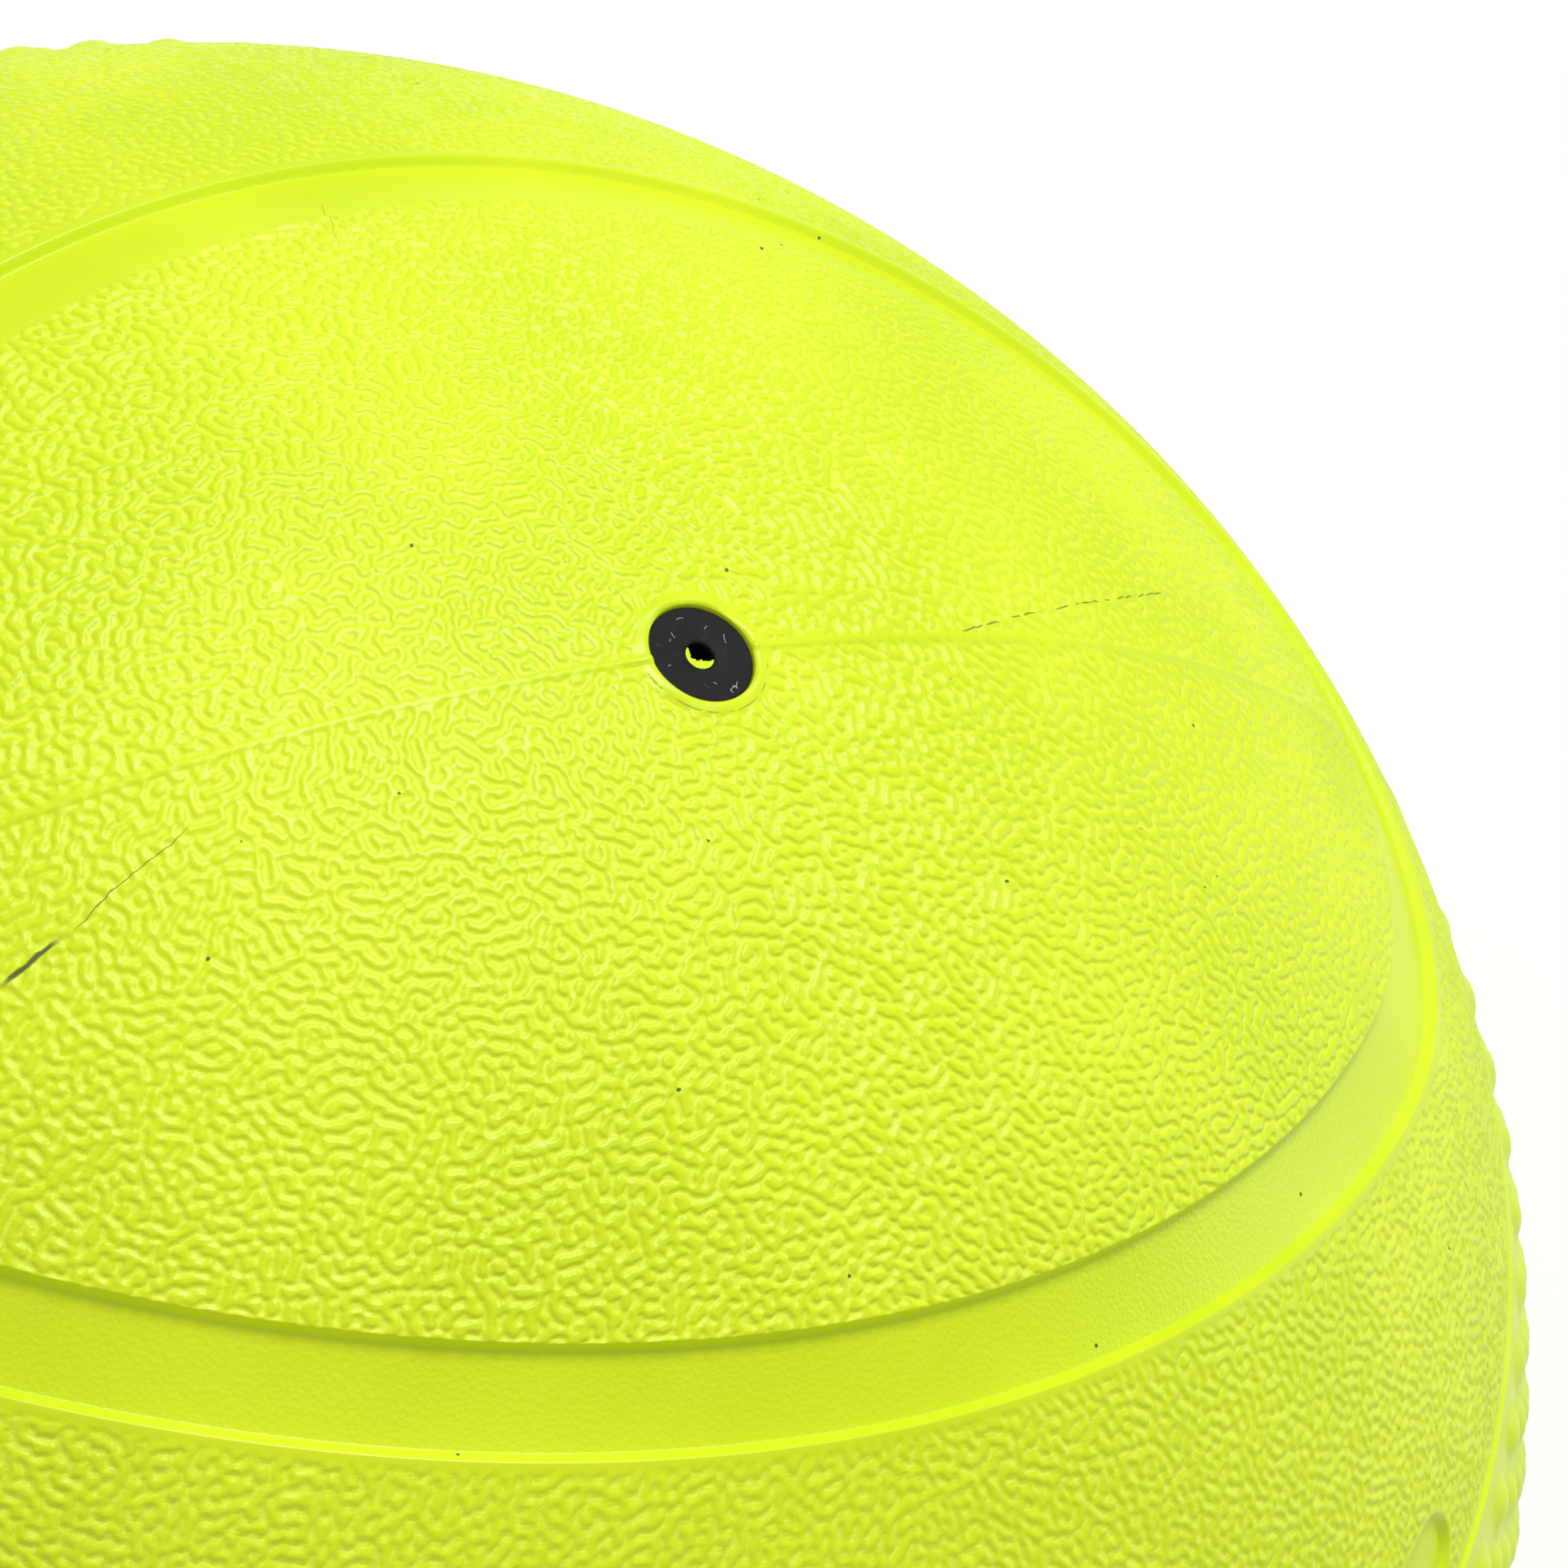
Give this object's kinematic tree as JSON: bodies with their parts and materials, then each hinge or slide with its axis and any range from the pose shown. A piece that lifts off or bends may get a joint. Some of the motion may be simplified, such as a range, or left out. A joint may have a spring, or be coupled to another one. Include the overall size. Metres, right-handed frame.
{
  "type": "medicine ball",
  "caption": "Inflatable thick-walled rubber ball with a grained cover, an oval ring channel round its needle valve and a bumped belt.",
  "frame": {"origin": "centre of the ball", "axes": "+Z out through the needle valve, +X along the mould's parting line and the long axis of the oval ring channel"},
  "size_m": [0.2316, 0.2316, 0.2303],
  "materials": {
    "cover_rubber": "satin moulded rubber with a fine raised grain",
    "weighted_rubber": "dull filled rubber",
    "yarn": "wound nylon yarn in cement",
    "butyl": "smooth butyl rubber",
    "patch_rubber": "matt patch rubber",
    "housing_rubber": "moulded rubber",
    "valve_rubber": "matt soft rubber with lint"
  },
  "bodies": {
    "ball": {"cover_half_front": "cover_rubber", "cover_half_back": "cover_rubber", "wall_half_left": "weighted_rubber", "wall_half_right": "weighted_rubber", "yarn_winding": "yarn", "air_bladder": "butyl", "bladder_patch": "patch_rubber", "valve_housing": "housing_rubber"},
    "plug": {"valve_plug": "valve_rubber"}
  },
  "joints": [
    {"name": "plug_slide", "type": "slide", "parent": "ball", "child": "plug", "axis": [0, 0, 1], "range_m": [0, 0.03]}
  ]
}
